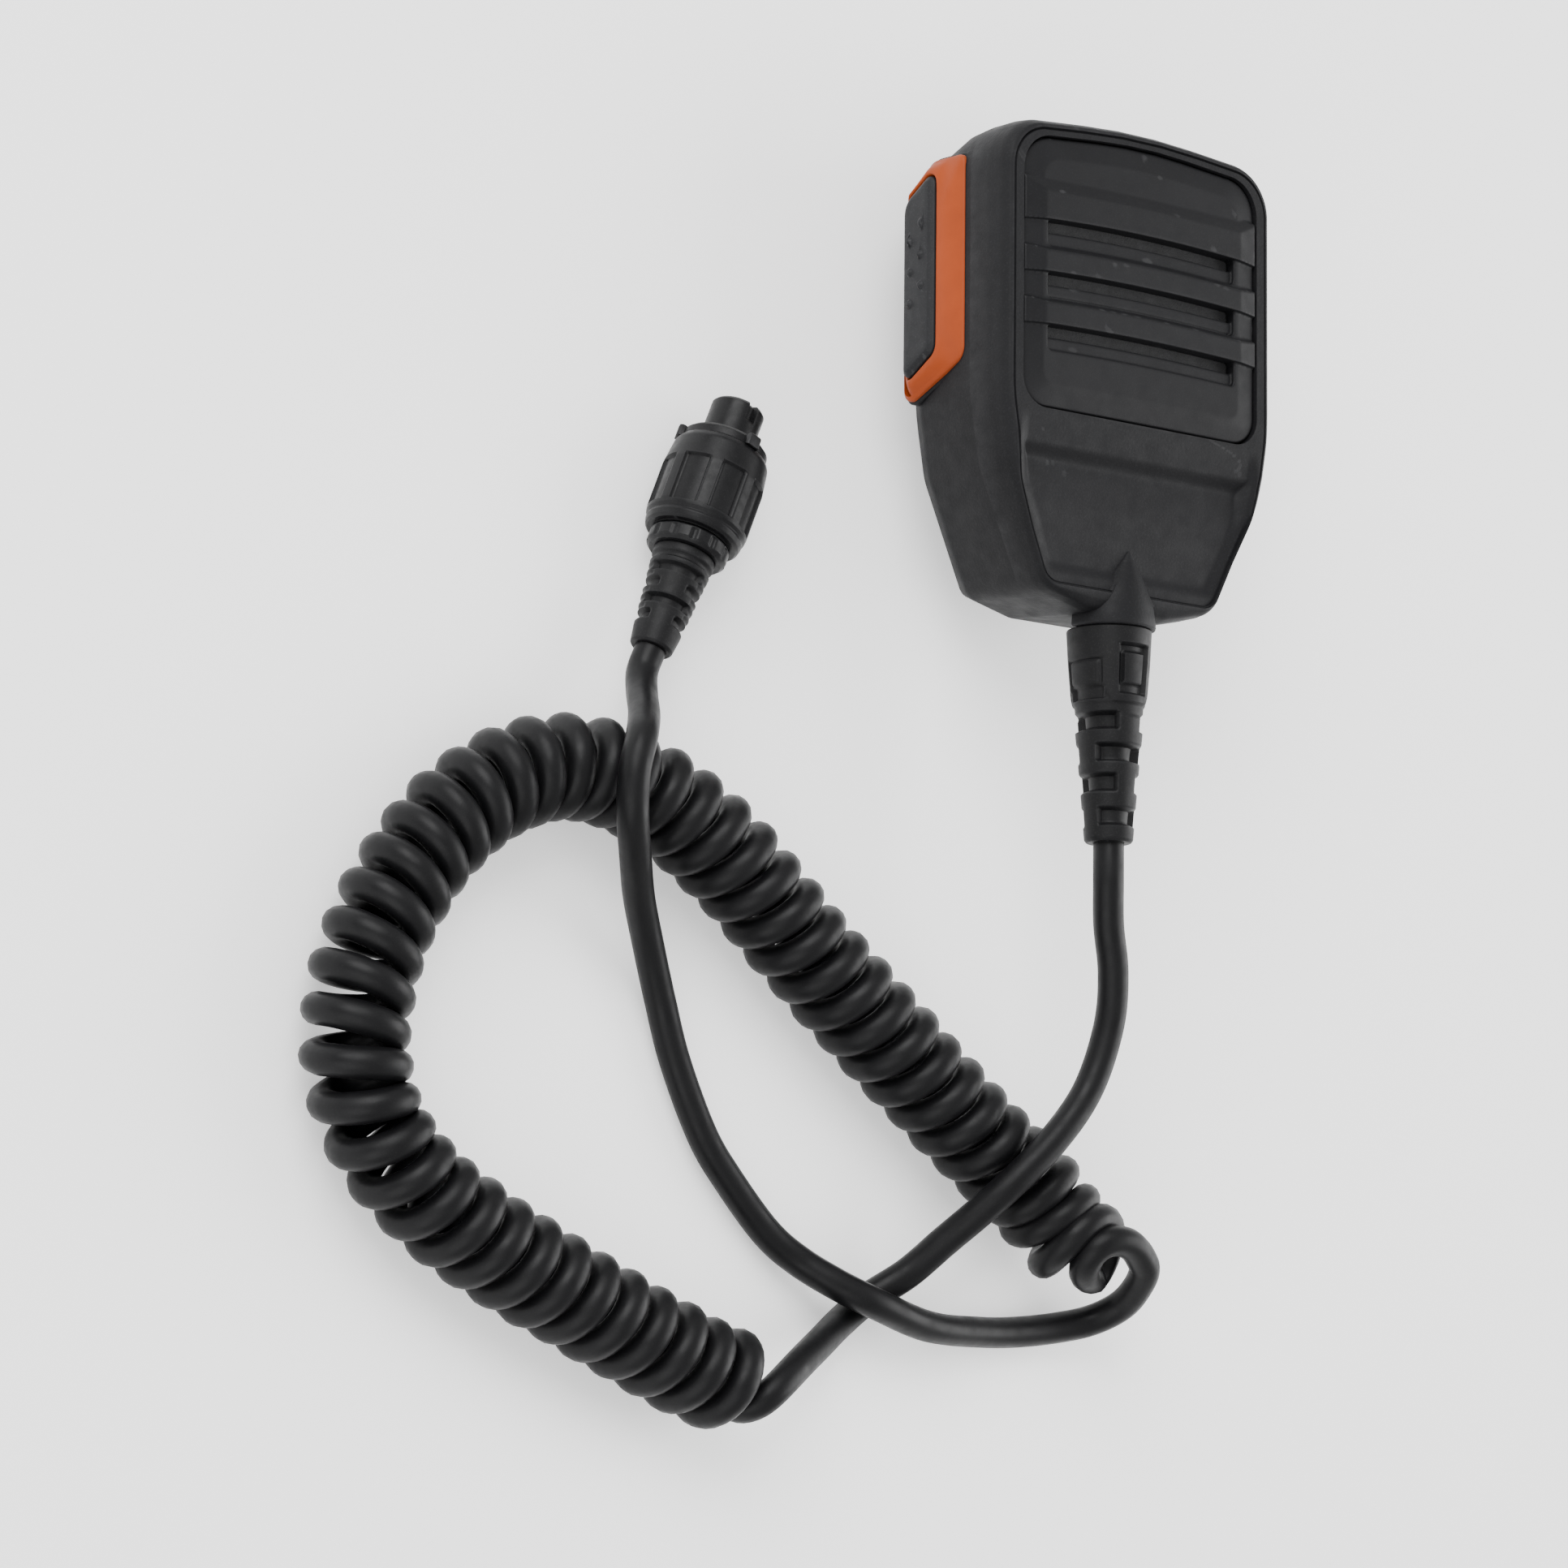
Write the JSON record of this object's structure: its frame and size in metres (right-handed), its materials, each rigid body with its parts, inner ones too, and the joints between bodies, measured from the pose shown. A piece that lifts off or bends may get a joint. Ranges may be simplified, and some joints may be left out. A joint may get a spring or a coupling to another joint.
{
  "type": "hand microphone",
  "caption": "Palm-held radio microphone with a slatted grille, a side talk button with a coloured rim, a curly cord and a round locking plug.",
  "frame": {"origin": "centre of the outer face of the hang-up button, the lowest point of the casing's back, which is the face the microphone lies on", "axes": "+Z the way the grille faces, +Y towards the top of the casing, so the cord leaves along -Y, and the talk button is on the -X side"},
  "size_m": [0.1847, 0.2322, 0.0389],
  "materials": {
    "casing_plastic": "fine matte spark-eroded grain, charcoal",
    "panel_plastic": "fine matte grain, slightly darker charcoal",
    "orange_plastic": "satin orange, fine grain",
    "talk_rubber": "matte elastomer, grey-black",
    "boot_rubber": "satin black elastomer",
    "cord_jacket": "satin black jacket",
    "seal_rubber": "matte black rubber",
    "plug_plastic": "satin black moulding",
    "dark_nylon": "matte black nylon",
    "connector_nylon": "natural nylon",
    "plunger_red": "satin red",
    "chip_plastic": "epoxy black",
    "board_green": "solder resist over glass laminate",
    "wire_pvc": "soft insulation, a colour for each wire",
    "dust_cloth": "fine black woven cloth",
    "capsule_aluminium": "satin aluminium can",
    "zinc_steel": "zinc-plated steel",
    "button_metal": "turned and nickel-plated",
    "spring_steel": "bright spring wire",
    "insert_brass": "turned brass",
    "contact_gold": "gold-plated contacts"
  },
  "bodies": {
    "casing": {"front_shell": "casing_plastic", "rear_shell": "casing_plastic", "shell_seal": "seal_rubber", "housing_screws": "zinc_steel", "grille_panel": "panel_plastic", "grille_mesh": "dust_cloth", "mic_capsule": "capsule_aluminium", "capsule_holder": "seal_rubber", "circuit_board": "board_green", "board_screws": "zinc_steel", "board_parts": "chip_plastic", "board_connector": "connector_nylon", "wire_plug": "connector_nylon", "inner_wires": "wire_pvc", "cord_clamp": "dark_nylon", "clamp_screws": "zinc_steel", "hang_button": "button_metal", "hang_button_screw": "zinc_steel", "button_insert": "insert_brass", "ptt_bezel": "orange_plastic", "plunger_seal": "seal_rubber", "ptt_switch": "dark_nylon", "cord_boot": "boot_rubber", "lead_mic": "cord_jacket", "cord_coil": "cord_jacket", "lead_plug": "cord_jacket", "plug_boot": "boot_rubber", "plug_collar": "plug_plastic", "sleeve_ring": "spring_steel", "plug_shell": "plug_plastic", "plug_seal": "seal_rubber", "plug_insert": "dark_nylon", "contact_pins": "contact_gold"},
    "talk_button": {"ptt_button": "talk_rubber"},
    "plunger": {"switch_plunger": "plunger_red"},
    "sleeve": {"coupling_sleeve": "plug_plastic"}
  },
  "joints": [
    {"name": "ptt_press", "type": "slide", "parent": "casing", "child": "talk_button", "axis": [1, 0, 0], "range_m": [0, 0.0012], "stiffness_N_per_m": 400},
    {"name": "plunger_slide", "type": "slide", "parent": "casing", "child": "plunger", "axis": [1, 0, 0], "range_m": [0, 0.0012]},
    {"name": "sleeve_turn", "type": "hinge", "parent": "casing", "child": "sleeve", "pos_m": [-0.0855, -0.0575, 0.0093], "axis": [0.3827, 0.9239, 0], "range_deg": [0, 60]}
  ],
  "couplings": [
    {"joint": "plunger_slide", "follows": "ptt_press", "ratio": 1}
  ]
}
